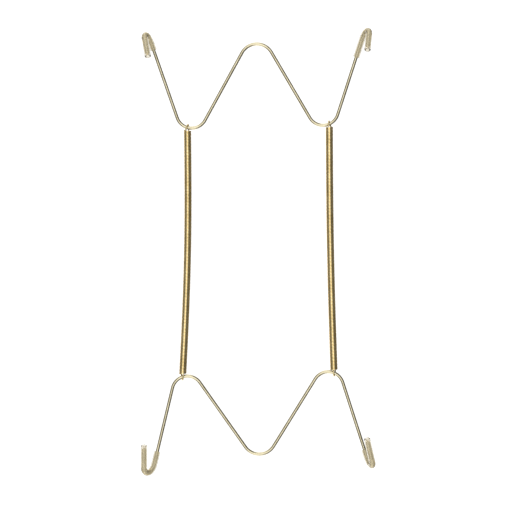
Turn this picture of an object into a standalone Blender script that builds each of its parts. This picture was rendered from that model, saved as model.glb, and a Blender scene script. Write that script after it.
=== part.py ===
"""Spring-type wire plate hanger, upright as it hangs on a nail.

Metres, +Z up, -Y towards the plate and the viewer, +Y towards the wall. The origin is the underside of
the top wire's centre bend, where the wire rests on the nail.

Two bent frame wires, each with two sleeved hooks, are pulled together by two close-wound extension
springs. Each spring's end loops go round the frame wires' side bends and turn on them.
"""

import math

import bmesh
import bpy
from mathutils import Matrix, Vector

MM = 0.001

# ---- Driving sizes ----
FRAME_WIRE_RADIUS = 0.8 * MM
SLEEVE_RADIUS = 1.55 * MM
SLEEVE_BORE_RADIUS = 1.05 * MM
SLEEVE_PAST_WIRE_END = 1.5 * MM

SIDE_BEND_RADIUS = 7.5 * MM
CENTRE_BEND_RADIUS = 8.3 * MM
HOOK_BEND_RADIUS = 4.2 * MM

COIL_RADIUS = 1.85 * MM
COIL_BORE_RADIUS = 1.1 * MM
SPRING_WIRE_RADIUS = 0.35 * MM
LOOP_RADIUS = 1.6 * MM
COIL_TO_PIVOT = 1.5 * MM
END_TURNS_LENGTH = 1.6 * MM
LOOP_SINK = 0.5 * MM
CLEARANCE = 0.3 * MM

BORE_OVERRUN = 1.0 * MM
WELD_DISTANCE = 0.001 * MM
PIVOT_MARKER_SIZE = 5.0 * MM

ARC_STEP = math.radians(13.0)
SMOOTH_BELOW = math.radians(40.0)
COIL_POINTS = 13
SIDES_RESOLUTION = 3

# ---- Bent wires: the corners between the straight legs, as (x, z), left hook to right hook ----
TOP_CORNERS = [
    (-51.65 * MM, 0.95 * MM),
    (-33.45 * MM, -51.35 * MM),
    (-0.25 * MM, 9.33 * MM),
    (34.45 * MM, -49.75 * MM),
    (51.55 * MM, 3.05 * MM),
]
BOTTOM_CORNERS = [
    (-50.25 * MM, -205.15 * MM),
    (-37.45 * MM, -151.55 * MM),
    (1.65 * MM, -206.85 * MM),
    (37.15 * MM, -149.55 * MM),
    (53.85 * MM, -201.35 * MM),
]

# ---- Hooks: bend angle, twist outward about the leg, straight tip, and sleeve length along the leg ----
HOOKS = {
    "upper_left": {"bend": 152.0, "twist": 15.5, "tip": 8.5 * MM, "on_leg": 3.2 * MM},
    "upper_right": {"bend": 147.0, "twist": 17.0, "tip": 8.0 * MM, "on_leg": 9.0 * MM},
    "lower_left": {"bend": 158.0, "twist": 32.0, "tip": 9.8 * MM, "on_leg": 6.2 * MM},
    "lower_right": {"bend": 158.0, "twist": 11.0, "tip": 10.6 * MM, "on_leg": 3.4 * MM},
}

# ---- Springs: where each one's loops hold the two frame wires (x), and its sideways bow ----
SPRINGS = {
    "left": {"top_x": -33.95 * MM, "bottom_x": -36.35 * MM, "bow": 1.2 * MM},
    "right": {"top_x": 35.55 * MM, "bottom_x": 37.85 * MM, "bow": -0.6 * MM},
}

# ---- Materials: base colour, roughness, metallic, transmission ----
FRAME_BRASS = ((0.72, 0.60, 0.36), 0.22, 1.0, 0.0)
SPRING_BRASS = ((0.62, 0.46, 0.20), 0.25, 1.0, 0.0)
CLEAR_VINYL = ((0.80, 0.78, 0.66), 0.3, 0.0, 0.6)
VINYL_IOR = 1.5

TOWARDS_VIEWER = Vector((0.0, -1.0, 0.0))


# ---- Collections and materials ----
def clear_scene():
    for obj in list(bpy.data.objects):
        bpy.data.objects.remove(obj, do_unlink=True)


def new_collection(name):
    collection = bpy.data.collections.new(name)
    bpy.context.scene.collection.children.link(collection)
    return collection


def principled(name, look):
    colour, roughness, metallic, transmission = look
    material = bpy.data.materials.new(name)
    material.use_nodes = True
    shader = material.node_tree.nodes["Principled BSDF"]
    shader.inputs["Base Color"].default_value = (*colour, 1.0)
    shader.inputs["Roughness"].default_value = roughness
    shader.inputs["Metallic"].default_value = metallic
    shader.inputs["Transmission Weight"].default_value = transmission
    shader.inputs["IOR"].default_value = VINYL_IOR
    return material


# ---- Paths ----
def on_frame_plane(corner):
    x, z = corner
    return Vector((x, 0.0, z))


def arc_points(start, heading, towards_centre, radius, angle):
    """Points along an arc that leaves start along heading and bends towards its centre."""
    steps = max(2, math.ceil(angle / ARC_STEP))
    points = []
    for step in range(steps + 1):
        turned = angle * step / steps
        ahead = heading * (radius * math.sin(turned))
        aside = towards_centre * (radius * (1.0 - math.cos(turned)))
        points.append(start + ahead + aside)
    return points


def corner_arc(before, corner, after, radius):
    """The arc that rounds a corner between two straight legs, and its centre."""
    heading = (corner - before).normalized()
    leaving = (after - corner).normalized()
    angle = heading.angle(leaving)
    towards_centre = (leaving - heading * leaving.dot(heading)).normalized()
    start = corner - heading * (radius * math.tan(angle / 2.0))
    return arc_points(start, heading, towards_centre, radius, angle), start + towards_centre * radius


def hook_points(leg_start, leg_end, hook):
    """The hook's centreline from the end of its leg: a bend towards the viewer, then a straight tip."""
    along = (leg_end - leg_start).normalized()
    outward = Vector((along.z, 0.0, -along.x))
    if outward.x * leg_end.x < 0.0:
        outward = -outward
    twist = math.radians(hook["twist"])
    bend = math.radians(hook["bend"])
    aside = TOWARDS_VIEWER * math.cos(twist) + outward * math.sin(twist)
    points = arc_points(leg_end, along, aside, HOOK_BEND_RADIUS, bend)
    tip_heading = along * math.cos(bend) + aside * math.sin(bend)
    return points, tip_heading


def frame_wire_points(corners, left_hook, right_hook):
    """A whole frame wire, from its left tip through its three bends to its right tip."""
    left, side_left, centre, side_right, right = [on_frame_plane(corner) for corner in corners]
    left_bend, left_heading = hook_points(side_left, left, left_hook)
    right_bend, right_heading = hook_points(side_right, right, right_hook)
    points = [left_bend[-1] + left_heading * left_hook["tip"]]
    points += reversed(left_bend)
    points += corner_arc(left, side_left, centre, SIDE_BEND_RADIUS)[0]
    points += corner_arc(side_left, centre, side_right, CENTRE_BEND_RADIUS)[0]
    points += corner_arc(centre, side_right, right, SIDE_BEND_RADIUS)[0]
    points += right_bend
    points.append(right_bend[-1] + right_heading * right_hook["tip"])
    return points


def sleeve_points(corners, side, hook, overrun=0.0):
    """A sleeve's centreline: a stretch of leg, the hook's bend, and past the end of the tip."""
    if side == "left":
        leg_start, leg_end = on_frame_plane(corners[1]), on_frame_plane(corners[0])
    else:
        leg_start, leg_end = on_frame_plane(corners[3]), on_frame_plane(corners[4])
    bend, tip_heading = hook_points(leg_start, leg_end, hook)
    along = (leg_end - leg_start).normalized()
    first = leg_end - along * (hook["on_leg"] + overrun)
    last = bend[-1] + tip_heading * (hook["tip"] + SLEEVE_PAST_WIRE_END + overrun)
    return [first, *bend, last]


def side_bend_pivot(corners, side, x):
    """The point of a frame wire's side bend that is at x: a spring's loop turns on the wire there."""
    middle = 1 if side == "left" else 3
    before, corner, after = [on_frame_plane(corners[middle + step]) for step in (-1, 0, 1)]
    centre = corner_arc(before, corner, after, SIDE_BEND_RADIUS)[1]
    rise = math.sqrt(SIDE_BEND_RADIUS**2 - (x - centre.x) ** 2)
    if corner.z < centre.z:
        rise = -rise
    return Vector((x, 0.0, centre.z + rise))


def bowed_line(start, end, bow, first, last, count):
    """Points between two distances along a line that bows sideways like half a sine wave."""
    length = (end - start).length
    points = []
    for step in range(count):
        share = (first + (last - first) * step / (count - 1)) / length
        bowed = start.lerp(end, share)
        bowed.x += bow * math.sin(math.pi * share)
        points.append(bowed)
    return points


def loop_points(pivot, away, side_vector, sink):
    """A loop over the frame wire: up one side of the coil, round the wire, and down the other side."""
    ring = arc_points(pivot - side_vector * LOOP_RADIUS, -away, side_vector, LOOP_RADIUS, math.pi)
    foot = ring[0] + away * (COIL_TO_PIVOT + sink)
    tail = ring[-1] + away * (COIL_TO_PIVOT - CLEARANCE)
    return [foot, *ring, tail]


# ---- Objects ----
def rod(name, points, radius, origin, collection, material=None):
    """A round rod along a list of points, as a bevelled curve with filled caps."""
    curve = bpy.data.curves.new(name, "CURVE")
    curve.dimensions = "3D"
    curve.bevel_depth = radius
    curve.bevel_resolution = SIDES_RESOLUTION
    curve.use_fill_caps = True
    spline = curve.splines.new("POLY")
    spline.points.add(len(points) - 1)
    for spline_point, point in zip(spline.points, points):
        spline_point.co = (*(point - origin), 1.0)
    if material is not None:
        curve.materials.append(material)
    obj = bpy.data.objects.new(name, curve)
    obj.location = origin
    collection.objects.link(obj)
    return obj


def rod_mesh(name, points, radius, origin, collection, material=None):
    """The same rod as a closed mesh, which a Boolean can cut or join."""
    source = rod(name + "_curve", points, radius, origin, collection, material)
    bpy.context.view_layer.update()
    depsgraph = bpy.context.evaluated_depsgraph_get()
    mesh = bpy.data.meshes.new_from_object(source.evaluated_get(depsgraph))
    mesh.name = name
    welded = bmesh.new()
    welded.from_mesh(mesh)
    bmesh.ops.remove_doubles(welded, verts=welded.verts, dist=WELD_DISTANCE)
    bmesh.ops.recalc_face_normals(welded, faces=welded.faces)
    welded.to_mesh(mesh)
    welded.free()
    obj = bpy.data.objects.new(name, mesh)
    obj.matrix_world = source.matrix_world.copy()
    collection.objects.link(obj)
    bpy.data.objects.remove(source, do_unlink=True)
    mesh.shade_smooth()
    mesh.set_sharp_from_angle(angle=SMOOTH_BELOW)
    return obj


def boolean(obj, other, operation):
    """A Boolean with a hidden guide object, left on obj as a modifier."""
    other.hide_render = True
    other.display_type = "WIRE"
    modifier = obj.modifiers.new(operation.lower() + "_" + other.name, "BOOLEAN")
    modifier.operation = operation
    modifier.solver = "EXACT"
    modifier.object = other


def joint_empty(name, place, collection):
    empty = bpy.data.objects.new(name, None)
    empty.empty_display_size = PIVOT_MARKER_SIZE
    empty.location = place
    collection.objects.link(empty)
    return empty


def hang_on(obj, parent):
    """Parents obj without moving it: both are placed in the world and neither is turned."""
    obj.parent = parent
    obj.matrix_parent_inverse = Matrix.Translation(-parent.location)


def make_sleeve(name, corners, side, hook, material, parts, cutters):
    origin = on_frame_plane(corners[0] if side == "left" else corners[4])
    points = sleeve_points(corners, side, hook)
    sleeve = rod_mesh(name, points, SLEEVE_RADIUS, origin, parts, material)
    bore_points = sleeve_points(corners, side, hook, overrun=BORE_OVERRUN)
    bore = rod_mesh(name + "_bore", bore_points, SLEEVE_BORE_RADIUS, origin, cutters)
    boolean(sleeve, bore, "DIFFERENCE")
    return sleeve


def make_coil_end(name, centreline, overrun_line, loop, origin, material, parts, cutters):
    """A stretch of coil as a tube, joined with the loop that the same wire forms at its end."""
    coil = rod_mesh(name, centreline, COIL_RADIUS, origin, parts, material)
    bore = rod_mesh(name + "_bore", overrun_line, COIL_BORE_RADIUS, origin, cutters)
    loop_wire = rod_mesh(name + "_loop_wire", loop, SPRING_WIRE_RADIUS, origin, cutters)
    boolean(coil, bore, "DIFFERENCE")
    boolean(coil, loop_wire, "UNION")
    return coil


def make_spring(side, spring, material, parts, cutters, upper_pivot, lower_pivot):
    """One spring: its coil and upper loop, and the last turns with the lower loop, which move with it."""
    top = upper_pivot.location.copy()
    bottom = lower_pivot.location.copy()
    length = (bottom - top).length
    coil_start = COIL_TO_PIVOT
    coil_end = length - COIL_TO_PIVOT - END_TURNS_LENGTH - CLEARANCE
    down = (bottom - top).normalized()

    def line(first, last, count):
        return bowed_line(top, bottom, spring["bow"], first, last, count)

    name = side + "_spring"
    coil = make_coil_end(
        name,
        line(coil_start, coil_end, COIL_POINTS),
        line(coil_start - BORE_OVERRUN, coil_end + BORE_OVERRUN, COIL_POINTS),
        loop_points(top, down, TOWARDS_VIEWER, LOOP_SINK),
        top,
        material,
        parts,
        cutters,
    )
    hang_on(coil, upper_pivot)

    end_first = length - COIL_TO_PIVOT - END_TURNS_LENGTH
    end_last = length - COIL_TO_PIVOT
    end = make_coil_end(
        name + "_lower_loop",
        line(end_first, end_last, 2),
        line(end_first - BORE_OVERRUN, end_last + BORE_OVERRUN, 2),
        loop_points(bottom, -down, TOWARDS_VIEWER, LOOP_SINK),
        bottom,
        material,
        parts,
        cutters,
    )
    hang_on(end, lower_pivot)


def main():
    clear_scene()
    parts = new_collection("plate_hanger")
    cutters = new_collection("plate_hanger_cutters")
    origin = Vector((0.0, 0.0, 0.0))

    brass = principled("pale_brass_wire", FRAME_BRASS)
    spring_brass = principled("spring_brass", SPRING_BRASS)
    vinyl = principled("clear_vinyl", CLEAR_VINYL)

    upper_pivots = {}
    lower_pivots = {}
    for side, spring in SPRINGS.items():
        top = side_bend_pivot(TOP_CORNERS, side, spring["top_x"])
        bottom = side_bend_pivot(BOTTOM_CORNERS, side, spring["bottom_x"])
        upper_pivots[side] = joint_empty(side + "_upper_pivot", top, parts)
        lower_pivots[side] = joint_empty(side + "_lower_pivot", bottom, parts)

    top_points = frame_wire_points(TOP_CORNERS, HOOKS["upper_left"], HOOKS["upper_right"])
    rod("top_wire", top_points, FRAME_WIRE_RADIUS, origin, parts, brass)

    bottom_origin = lower_pivots["left"].location.copy()
    bottom_points = frame_wire_points(BOTTOM_CORNERS, HOOKS["lower_left"], HOOKS["lower_right"])
    bottom_wire = rod("bottom_wire", bottom_points, FRAME_WIRE_RADIUS, bottom_origin, parts, brass)
    hang_on(bottom_wire, lower_pivots["left"])

    for place, hook in HOOKS.items():
        level, side = place.split("_")
        corners = TOP_CORNERS if level == "upper" else BOTTOM_CORNERS
        sleeve = make_sleeve(place + "_sleeve", corners, side, hook, vinyl, parts, cutters)
        if level == "lower":
            hang_on(sleeve, lower_pivots["left"])

    for side, spring in SPRINGS.items():
        make_spring(side, spring, spring_brass, parts, cutters, upper_pivots[side], lower_pivots[side])


main()
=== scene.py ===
"""Looks of a spring-type wire plate hanger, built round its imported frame. Metres, +Z up, -Y to the viewer."""

import math

import bpy
import numpy as np
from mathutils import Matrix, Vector


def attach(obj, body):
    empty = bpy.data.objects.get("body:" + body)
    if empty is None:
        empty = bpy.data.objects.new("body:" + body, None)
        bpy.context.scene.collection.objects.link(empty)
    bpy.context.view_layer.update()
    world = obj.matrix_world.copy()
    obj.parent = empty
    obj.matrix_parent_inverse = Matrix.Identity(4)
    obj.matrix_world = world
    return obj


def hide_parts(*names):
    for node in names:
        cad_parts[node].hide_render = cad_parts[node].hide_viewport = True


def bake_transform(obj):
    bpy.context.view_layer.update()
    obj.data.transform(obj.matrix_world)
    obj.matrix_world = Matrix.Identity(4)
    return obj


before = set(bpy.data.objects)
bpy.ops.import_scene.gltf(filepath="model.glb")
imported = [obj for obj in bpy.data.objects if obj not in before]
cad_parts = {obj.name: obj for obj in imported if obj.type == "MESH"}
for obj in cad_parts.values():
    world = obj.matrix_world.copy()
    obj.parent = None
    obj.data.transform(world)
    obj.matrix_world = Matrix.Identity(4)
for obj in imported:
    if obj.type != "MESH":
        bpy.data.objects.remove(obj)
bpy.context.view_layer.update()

MM = 0.001

# ---- Sizes: the CAD's, except the springs' turns and loops, drawn in full here, and the sleeves' tighter bore ----
WIRE_R = 0.8 * MM
SLEEVE_R = 1.55 * MM
# The vinyl grips its wire, so its bore is a hair under the wire's radius.
SLEEVE_BORE_R = 0.78 * MM
SLEEVE_PAST_END = 1.5 * MM
SIDE_BEND_R = 7.5 * MM
CENTRE_BEND_R = 8.3 * MM
HOOK_BEND_R = 4.2 * MM
COIL_R = 1.85 * MM
SPRING_WIRE_R = 0.35 * MM
COIL_MEAN_R = COIL_R - SPRING_WIRE_R
# From the pivot to the coil's first turn: the room a spring needs to fold on wire that slopes at the pivot.
COIL_START = {"left": 1.50 * MM, "right": 1.56 * MM}

TOP = [(-51.65, 0.95), (-33.45, -51.35), (-0.25, 9.33), (34.45, -49.75), (51.55, 3.05)]
BOTTOM = [(-50.25, -205.15), (-37.45, -151.55), (1.65, -206.85), (37.15, -149.55), (53.85, -201.35)]
# bend and outward twist in degrees, straight tip and sleeve on the leg in mm
HOOKS = {
    "upper_left": (152.0, 15.5, 8.5, 3.2),
    "upper_right": (147.0, 17.0, 8.0, 9.0),
    "lower_left": (158.0, 32.0, 9.8, 6.2),
    "lower_right": (158.0, 11.0, 10.6, 3.4),
}
# top x, bottom x, sideways bow in mm
SPRINGS = {"left": (-33.95, -36.35, 1.2), "right": (35.55, 37.85, -0.6)}

# ---- How finely the meshes are made ----
ARC_STEP = math.radians(2.5)
ROUTE_STEP = 0.3 * MM
WIRE_SIDES = 24
SLEEVE_SIDES = 32
SPRING_SIDES = 12
POINTS_A_TURN = 24
POINTS_A_SPAN = 6
WIRE_EDGE = 0.08 * MM
SPRING_WIRE_EDGE = 0.05 * MM
# A lip's points, in degrees round the end of a sleeve's wall, and its bulge as a share of half the wall.
LIP_ANGLES = (45, 90, 135)
LIP_BULGE = 0.6
SHARP_ANGLE = math.radians(50.0)

# ---- Camera: square on, at the height of the object's middle ----
CAMERA_LENS = 114.8
CAMERA_SENSOR = 36.0
CAMERA_PLACE = (-0.0004, -0.8, -0.10308)

camera_data = bpy.data.cameras.new("camera")
camera_data.lens = CAMERA_LENS
camera_data.sensor_width = CAMERA_SENSOR
camera = bpy.data.objects.new("camera", camera_data)
camera.location = CAMERA_PLACE
camera.rotation_euler = (math.radians(90.0), 0.0, 0.0)
bpy.context.scene.collection.objects.link(camera)
bpy.context.scene.camera = camera


# ---- Routes ----
def vec(corner):
    return Vector((corner[0] * MM, 0.0, corner[1] * MM))


def arc(start, heading, aside, radius, angle):
    steps = max(4, math.ceil(angle / ARC_STEP))
    points = []
    for step in range(steps + 1):
        t = angle * step / steps
        points.append(start + heading * (radius * math.sin(t)) + aside * (radius * (1.0 - math.cos(t))))
    return points


def corner_arc(before, corner, after, radius):
    heading = (corner - before).normalized()
    leaving = (after - corner).normalized()
    angle = heading.angle(leaving)
    aside = (leaving - heading * leaving.dot(heading)).normalized()
    start = corner - heading * (radius * math.tan(angle / 2.0))
    return arc(start, heading, aside, radius, angle), start + aside * radius


def hook(leg_start, leg_end, bend, twist):
    along = (leg_end - leg_start).normalized()
    outward = Vector((along.z, 0.0, -along.x))
    if outward.x * leg_end.x < 0.0:
        outward = -outward
    bend, twist = math.radians(bend), math.radians(twist)
    aside = Vector((0.0, -math.cos(twist), 0.0)) + outward * math.sin(twist)
    tip = along * math.cos(bend) + aside * math.sin(bend)
    return arc(leg_end, along, aside, HOOK_BEND_R, bend), tip, along


def wire_route(corners, left_name, right_name):
    a, b, c, d, e = [vec(p) for p in corners]
    lh, rh = HOOKS[left_name], HOOKS[right_name]
    left, left_tip, _ = hook(b, a, lh[0], lh[1])
    right, right_tip, _ = hook(d, e, rh[0], rh[1])
    points = [left[-1] + left_tip * (lh[2] * MM)] + left[::-1]
    points += corner_arc(a, b, c, SIDE_BEND_R)[0]
    points += corner_arc(b, c, d, CENTRE_BEND_R)[0]
    points += corner_arc(c, d, e, SIDE_BEND_R)[0]
    return points + right + [right[-1] + right_tip * (rh[2] * MM)]


def sleeve_route(corners, name):
    i, j = (1, 0) if name.endswith("left") else (3, 4)
    bend, twist, tip_length, on_leg = HOOKS[name]
    points, tip, along = hook(vec(corners[i]), vec(corners[j]), bend, twist)
    first = vec(corners[j]) - along * (on_leg * MM)
    return [first] + points + [points[-1] + tip * (tip_length * MM + SLEEVE_PAST_END)]


def pivot(corners, side, x):
    m = 1 if side == "left" else 3
    before, corner, after = [vec(corners[m + k]) for k in (-1, 0, 1)]
    centre = corner_arc(before, corner, after, SIDE_BEND_R)[1]
    rise = math.sqrt(SIDE_BEND_R**2 - (x * MM - centre.x) ** 2)
    return Vector((x * MM, 0.0, centre.z + (rise if corner.z > centre.z else -rise)))


def resample(points, spacing):
    P = np.array([tuple(p) for p in points])
    d = np.r_[0.0, np.cumsum(np.linalg.norm(np.diff(P, axis=0), axis=1))]
    s = np.linspace(0.0, d[-1], max(2, int(round(d[-1] / spacing)) + 1))
    return np.stack([np.interp(s, d, P[:, k]) for k in range(3)], -1)


# ---- Meshes ----
def frames(P):
    """Unit tangents and a pair of normals carried along a route without twist."""
    T = np.gradient(P, axis=0)
    T /= np.linalg.norm(T, axis=1)[:, None]
    n = np.cross(T[0], (0.31, 0.77, 0.56))
    N = []
    for t in T:
        n = n - t * n.dot(t)
        n = n / np.linalg.norm(n)
        N.append(n)
    N = np.array(N)
    return T, N, np.cross(T, N)


def grid_mesh(name, rings, lengths, closed_rows, material):
    """Rings of points joined into a closed skin, with the vector attribute `grain` for the shaders."""
    rows, sides = len(rings), len(rings[0])
    verts = [tuple(p) for ring in rings for p in ring]
    grain = [(math.cos(a), math.sin(a), l / MM) for l in lengths for a in np.arange(sides) * 2 * math.pi / sides]
    faces = []
    for r in range(rows if closed_rows else rows - 1):
        q = (r + 1) % rows
        for k in range(sides):
            m = (k + 1) % sides
            faces.append((r * sides + k, r * sides + m, q * sides + m, q * sides + k))
    if not closed_rows:
        faces.append(tuple(range(sides))[::-1])
        faces.append(tuple(range((rows - 1) * sides, rows * sides)))
    mesh = bpy.data.meshes.new(name)
    mesh.from_pydata(verts, [], faces)
    attribute = mesh.attributes.new("grain", "FLOAT_VECTOR", "POINT")
    attribute.data.foreach_set("vector", np.array(grain).ravel())
    mesh.materials.append(material)
    mesh.validate()
    mesh.shade_smooth()
    mesh.set_sharp_from_angle(angle=SHARP_ANGLE)
    obj = bpy.data.objects.new(name, mesh)
    bpy.context.scene.collection.objects.link(obj)
    return obj


def ring(p, n, b, radius, sides):
    a = np.arange(sides) * 2 * math.pi / sides
    return p + radius * (np.cos(a)[:, None] * n + np.sin(a)[:, None] * b)


def rod(name, P, radius, sides, material, edge):
    """A solid wire whose cut ends have a small broken edge."""
    T, N, B = frames(P)
    L = np.r_[0.0, np.cumsum(np.linalg.norm(np.diff(P, axis=0), axis=1))]
    rings, lengths = [], []
    rings.append(ring(P[0] - T[0] * edge, N[0], B[0], radius - edge, sides))
    lengths.append(L[0])
    for i in range(len(P)):
        rings.append(ring(P[i], N[i], B[i], radius, sides))
        lengths.append(L[i])
    rings.append(ring(P[-1] + T[-1] * edge, N[-1], B[-1], radius - edge, sides))
    lengths.append(L[-1])
    return grid_mesh(name, rings, lengths, False, material)


def tube(name, P, outer, inner, sides, material):
    """An open-ended sleeve with rounded lips."""
    T, N, B = frames(P)
    L = np.r_[0.0, np.cumsum(np.linalg.norm(np.diff(P, axis=0), axis=1))]
    half = (outer - inner) / 2.0
    middle = inner + half
    last = len(P) - 1
    rings, lengths = [], []

    def wall(order, radius):
        for i in order:
            rings.append(ring(P[i], N[i], B[i], radius, sides))
            lengths.append(L[i])

    def lip(i, way, angles):
        for t in angles:
            r = middle + half * math.cos(math.radians(t))
            out = T[i] * way * half * LIP_BULGE * math.sin(math.radians(t))
            rings.append(ring(P[i] + out, N[i], B[i], r, sides))
            lengths.append(L[i])

    wall(range(last + 1), outer)
    lip(last, 1.0, LIP_ANGLES)
    wall(range(last, -1, -1), inner)
    lip(0, -1.0, LIP_ANGLES[::-1])
    return grid_mesh(name, rings, lengths, True, material)


def smooth_through(points, per_span):
    """A Catmull-Rom curve through points."""
    Q = np.array([points[0] * 2 - points[1], *points, points[-1] * 2 - points[-2]])
    out = []
    for i in range(1, len(Q) - 2):
        for k in range(per_span):
            t = k / per_span
            p0, p1, p2, p3 = Q[i - 1], Q[i], Q[i + 1], Q[i + 2]
            out.append(0.5 * (
                2 * p1 + (p2 - p0) * t
                + (2 * p0 - 5 * p1 + 4 * p2 - p3) * t**2
                + (3 * p1 - p0 - 3 * p2 + p3) * t**3
            ))
    out.append(Q[-2])
    return out


# Loop control points in mm from the pivot: x, y, and height away from the coil. Free end first.
# A loop has to clear the sloping frame wire as it folds, so it is 1.45 out by the pivot and 1.9 at its foot.
LOOP_IN_FRONT = [
    (0.55, 1.3, -1.3), (0.4, 1.5, -0.4), (0.35, 1.1, 0.95), (0.25, 0.0, 1.45),
    (-0.05, -1.05, 1.0), (-0.38, -1.62, 0.0), (-0.78, -1.55, -1.15),
]
LOOP_BEHIND = [
    (0.5, -1.3, -1.3), (0.35, -1.5, -0.4), (0.2, -1.1, 0.95), (0.0, 0.0, 1.45),
    (-0.2, 1.1, 1.0), (-0.39, 1.62, 0.0), (-0.66, 1.52, -1.15),
]
LOOPS = {
    ("left", "top"): (LOOP_IN_FRONT, 1, 1, 235.0),
    ("right", "top"): (LOOP_IN_FRONT, -1, -1, 55.0),
    ("left", "bottom"): (LOOP_BEHIND, 1, 1, 125.0),
    ("right", "bottom"): (LOOP_BEHIND, -1, 1, 70.0),
}


def loop_route(side, level, at):
    control, sx, sy, phase = LOOPS[(side, level)]
    away = 1.0 if level == "top" else -1.0
    return [np.array(tuple(at)) + np.array((x * sx, y * sy, z * away)) * MM for x, y, z in control], phase


def spring_route(side):
    top_x, bottom_x, bow = SPRINGS[side]
    top, bottom = pivot(TOP, side, top_x), pivot(BOTTOM, side, bottom_x)
    upper, start_phase = loop_route(side, "top", top)
    lower, end_phase = loop_route(side, "bottom", bottom)
    length = (bottom - top).length
    s0, s1 = COIL_START[side], length - COIL_START[side]
    turns = round((s1 - s0) / (2 * SPRING_WIRE_R)) - 1 + ((start_phase - end_phase) % 360.0) / 360.0
    turns = min(turns, (s1 - s0) / (2 * SPRING_WIRE_R))
    count = int(turns * POINTS_A_TURN)
    helix = []
    for k in range(count + 1):
        u = k / count
        share = (s0 + (s1 - s0) * u) / length
        p = top.lerp(bottom, share)
        p.x += bow * MM * math.sin(math.pi * share)
        phi = math.radians(start_phase) - 2 * math.pi * turns * u
        helix.append(np.array((p.x + COIL_MEAN_R * math.cos(phi), COIL_MEAN_R * math.sin(phi), p.z)))
    head = smooth_through(upper + [helix[0]], POINTS_A_SPAN)[:-1]
    tail = smooth_through([helix[-1]] + lower[::-1], POINTS_A_SPAN)[1:]
    return np.array(head + helix + tail), top, bottom


# ---- Shader nodes ----
def noise(tree, vector, scale, detail):
    node = tree.nodes.new("ShaderNodeTexNoise")
    node.inputs["Scale"].default_value = scale
    node.inputs["Detail"].default_value = detail
    tree.links.new(vector, node.inputs["Vector"])
    return node.outputs["Fac"]


def ramp(tree, factor, low, high, ends=(0.0, 1.0)):
    """The colour low where factor is at the first end, and high at the second."""
    node = tree.nodes.new("ShaderNodeValToRGB")
    for element, position, colour in zip(node.color_ramp.elements, ends, (low, high)):
        element.position = position
        element.color = (*colour, 1.0)
    tree.links.new(factor, node.inputs["Fac"])
    return node.outputs["Color"]


def remap(tree, value, low, high, ends=(0.0, 1.0), smooth=False):
    """The number low where value is at the first end, and high at the second."""
    node = tree.nodes.new("ShaderNodeMapRange")
    if smooth:
        node.interpolation_type = "SMOOTHSTEP"
    numbers = {"From Min": ends[0], "From Max": ends[1], "To Min": low, "To Max": high}
    for name, number in numbers.items():
        node.inputs[name].default_value = number
    tree.links.new(value, node.inputs["Value"])
    return node.outputs["Result"]


def arithmetic(tree, operation, source, value=0.0):
    node = tree.nodes.new("ShaderNodeMath")
    node.operation = operation
    tree.links.new(source, node.inputs[0])
    node.inputs[1].default_value = value
    return node.outputs["Value"]


def mixed(tree, factor, a, b):
    """The number a where factor is 0 and b where it is 1; each is a value or a socket."""
    node = tree.nodes.new("ShaderNodeMix")
    tree.links.new(factor, node.inputs["Factor"])
    for name, value in (("A", a), ("B", b)):
        if isinstance(value, float):
            node.inputs[name].default_value = value
        else:
            tree.links.new(value, node.inputs[name])
    return node.outputs["Result"]


def new_material(name):
    material = bpy.data.materials.new(name)
    material.use_nodes = True
    return material, material.node_tree, material.node_tree.nodes["Principled BSDF"]


# ---- Materials ----
# Drawing lines: noise stretched along the wire. Clouds: noise per metre.
LINES_ACROSS, LINES_ALONG, LINES_DETAIL = 3.0, 0.15, 4.0
LINES_BUMP, LINES_DEPTH = 0.15, 0.02 * MM
TARNISH_SCALE, TARNISH_DETAIL, TARNISH_ENDS = 180.0, 5.0, (0.35, 0.70)
SMOOTHER, ROUGHER = 0.06, 0.08

VINYL_TRANSMISSION, VINYL_IOR = 0.86, 1.29
VINYL_DARK, VINYL_LIGHT = (0.93, 0.87, 0.73), (0.97, 0.93, 0.83)
VINYL_ROUGHNESS = (0.03, 0.09)
VINYL_CLOUD_SCALE, VINYL_CLOUD_DETAIL = 320.0, 3.0


def brass(name, colour, tarnish, edge, roughness):
    """Drawn brass wire: fine lines along the wire, cloudy tarnish and small changes of gloss."""
    material, tree, shader = new_material(name)
    shader.inputs["Metallic"].default_value = 1.0
    shader.inputs["Specular Tint"].default_value = (*edge, 1.0)
    grain = tree.nodes.new("ShaderNodeAttribute")
    grain.attribute_name = "grain"
    stretch = tree.nodes.new("ShaderNodeMapping")
    stretch.inputs["Scale"].default_value = (LINES_ACROSS, LINES_ACROSS, LINES_ALONG)
    tree.links.new(grain.outputs["Vector"], stretch.inputs["Vector"])
    lines = noise(tree, stretch.outputs["Vector"], 1.0, LINES_DETAIL)
    place = tree.nodes.new("ShaderNodeTexCoord")
    cloud = noise(tree, place.outputs["Object"], TARNISH_SCALE, TARNISH_DETAIL)
    tree.links.new(ramp(tree, cloud, tarnish, colour, TARNISH_ENDS), shader.inputs["Base Color"])
    gloss = remap(tree, lines, roughness - SMOOTHER, roughness + ROUGHER)
    tree.links.new(gloss, shader.inputs["Roughness"])
    bump = tree.nodes.new("ShaderNodeBump")
    bump.inputs["Strength"].default_value = LINES_BUMP
    bump.inputs["Distance"].default_value = LINES_DEPTH
    tree.links.new(lines, bump.inputs["Height"])
    tree.links.new(bump.outputs["Normal"], shader.inputs["Normal"])
    return material


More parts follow.
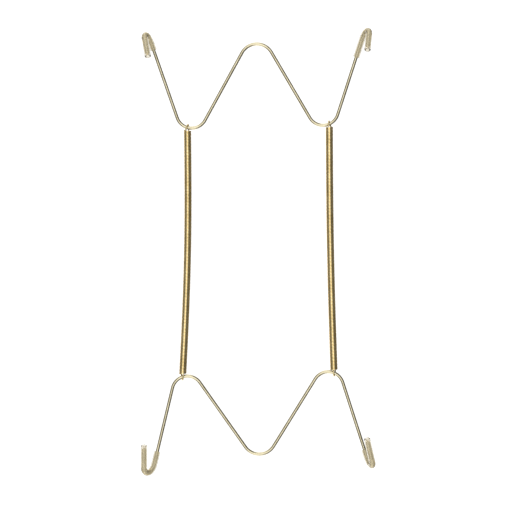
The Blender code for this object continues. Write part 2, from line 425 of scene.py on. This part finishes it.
def vinyl():
    """Clear flexible tubing, a little yellowed and cloudy."""
    material, tree, shader = new_material("clear_vinyl_look")
    shader.inputs["Transmission Weight"].default_value = VINYL_TRANSMISSION
    shader.inputs["IOR"].default_value = VINYL_IOR
    place = tree.nodes.new("ShaderNodeTexCoord")
    cloud = noise(tree, place.outputs["Object"], VINYL_CLOUD_SCALE, VINYL_CLOUD_DETAIL)
    tree.links.new(ramp(tree, cloud, VINYL_DARK, VINYL_LIGHT), shader.inputs["Base Color"])
    tree.links.new(remap(tree, cloud, *VINYL_ROUGHNESS), shader.inputs["Roughness"])
    return material


FRAME_BRASS = brass("frame_brass", (0.65, 0.59, 0.41), (0.53, 0.475, 0.32), (0.94, 0.84, 0.58), 0.26)
SPRING_BRASS = brass("spring_brass_look", (0.92, 0.77, 0.44), (0.76, 0.61, 0.30), (0.95, 0.80, 0.50), 0.20)
VINYL = vinyl()

# ---- Pieces ----
for corners, node, body, left_name, right_name in (
    (TOP, "top_wire", "top_frame", "upper_left", "upper_right"),
    (BOTTOM, "bottom_wire", "bottom_frame", "lower_left", "lower_right"),
):
    route = resample(wire_route(corners, left_name, right_name), ROUTE_STEP)
    wire = rod("frame_" + node, route, WIRE_R, WIRE_SIDES, FRAME_BRASS, WIRE_EDGE)
    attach(wire, body)
    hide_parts(node)
    for name in (left_name, right_name):
        path = resample(sleeve_route(corners, name), ROUTE_STEP)
        sleeve = tube("clear_" + name + "_sleeve", path, SLEEVE_R, SLEEVE_BORE_R, SLEEVE_SIDES, VINYL)
        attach(sleeve, body)
        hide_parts(name + "_sleeve")

for side in ("left", "right"):
    route, top, bottom = spring_route(side)
    spring = rod("wound_" + side + "_spring", route, SPRING_WIRE_R, SPRING_SIDES, SPRING_BRASS, SPRING_WIRE_EDGE)
    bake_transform(spring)
    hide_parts(side + "_spring", side + "_spring_lower_loop")


# ---- Stage: a white surface behind, seen from the front only, in a soft studio ----
WALL_HALF = 1.5
# Further back than the springs and the lower wire swing.
WALL_Y = 0.450
WALL_Z = -0.103
WALL_GLOW = 0.85
WALL_GREY = 0.35
WALL_ROUGHNESS = 0.9

# The studio is one tall bright band of diffused light over and under the camera, between darker sides. Directions
# are parts of a unit vector: X is right, and Z is up or down.
BAND_CENTRE_X = -0.12
BAND_HALF_WIDTH = 0.22
BAND_EDGE = 0.25
BAND_STRENGTH = 1.95
BAND_STRENGTH_HIGH_AND_LOW = 1.4
BAND_FADE_Z = (0.30, 0.65)
LEFT_STRENGTH = 0.26
RIGHT_STRENGTH = 0.18
SIDES_X = (-0.6, 0.6)
INSIDE_DARK = 0.72
INSIDE_LIGHT = 1.25


def stage_material():
    """Glows white on its front, and is clear from behind."""
    material, tree, shader = new_material("white_surface")
    shader.inputs["Base Color"].default_value = (WALL_GREY, WALL_GREY, WALL_GREY, 1.0)
    shader.inputs["Roughness"].default_value = WALL_ROUGHNESS
    shader.inputs["Emission Color"].default_value = (1.0, 1.0, 1.0, 1.0)
    shader.inputs["Emission Strength"].default_value = WALL_GLOW
    geometry = tree.nodes.new("ShaderNodeNewGeometry")
    clear = tree.nodes.new("ShaderNodeBsdfTransparent")
    mix = tree.nodes.new("ShaderNodeMixShader")
    tree.links.new(geometry.outputs["Backfacing"], mix.inputs["Fac"])
    tree.links.new(shader.outputs["BSDF"], mix.inputs[1])
    tree.links.new(clear.outputs["BSDF"], mix.inputs[2])
    tree.links.new(mix.outputs["Shader"], tree.nodes["Material Output"].inputs["Surface"])
    return material


wall_mesh = bpy.data.meshes.new("white_surface")
h = WALL_HALF
wall_mesh.from_pydata([(-h, 0, -h), (h, 0, -h), (h, 0, h), (-h, 0, h)], [], [(0, 1, 2, 3)])
wall_mesh.materials.append(stage_material())
wall = bpy.data.objects.new("white_surface", wall_mesh)
wall.location = (0.0, WALL_Y, WALL_Z)
bpy.context.scene.collection.objects.link(wall)
# Only the camera sees the surface: it is whiter than the studio's light would make it, so it lights nothing.
wall.visible_diffuse = False
wall.visible_glossy = False
wall.visible_transmission = False
wall.visible_shadow = False

world = bpy.data.worlds.new("studio")
world.use_nodes = True
studio = world.node_tree
backdrop = studio.nodes["Background"]
backdrop.inputs["Color"].default_value = (1.0, 1.0, 1.0, 1.0)
direction = studio.nodes.new("ShaderNodeTexCoord")
split = studio.nodes.new("ShaderNodeSeparateXYZ")
studio.links.new(direction.outputs["Generated"], split.inputs["Vector"])
aside = arithmetic(studio, "ABSOLUTE", arithmetic(studio, "SUBTRACT", split.outputs["X"], BAND_CENTRE_X))
steepness = arithmetic(studio, "ABSOLUTE", split.outputs["Z"])
band = remap(studio, aside, 1.0, 0.0, (BAND_HALF_WIDTH, BAND_HALF_WIDTH + BAND_EDGE), smooth=True)
sides = remap(studio, split.outputs["X"], LEFT_STRENGTH, RIGHT_STRENGTH, SIDES_X)
along_band = remap(studio, steepness, BAND_STRENGTH, BAND_STRENGTH_HIGH_AND_LOW, BAND_FADE_Z, smooth=True)
level = mixed(studio, band, sides, along_band)

# The camera sees white, and so does light that goes straight through the vinyl. Light that has bounced inside the
# vinyl sees flatter surroundings than the metal outside does. That only sets the sleeves' tone.
paths = studio.nodes.new("ShaderNodeLightPath")
inside = mixed(studio, band, INSIDE_DARK, INSIDE_LIGHT)
bounced = arithmetic(studio, "MINIMUM", paths.outputs["Glossy Depth"], 1.0)
entered = arithmetic(studio, "MINIMUM", paths.outputs["Transmission Depth"], 1.0)
strength = mixed(studio, entered, level, mixed(studio, bounced, 1.0, inside))
strength = mixed(studio, paths.outputs["Is Camera Ray"], strength, 1.0)
studio.links.new(strength, backdrop.inputs["Strength"])
bpy.context.scene.world = world
bpy.context.scene.view_settings.view_transform = "Standard"
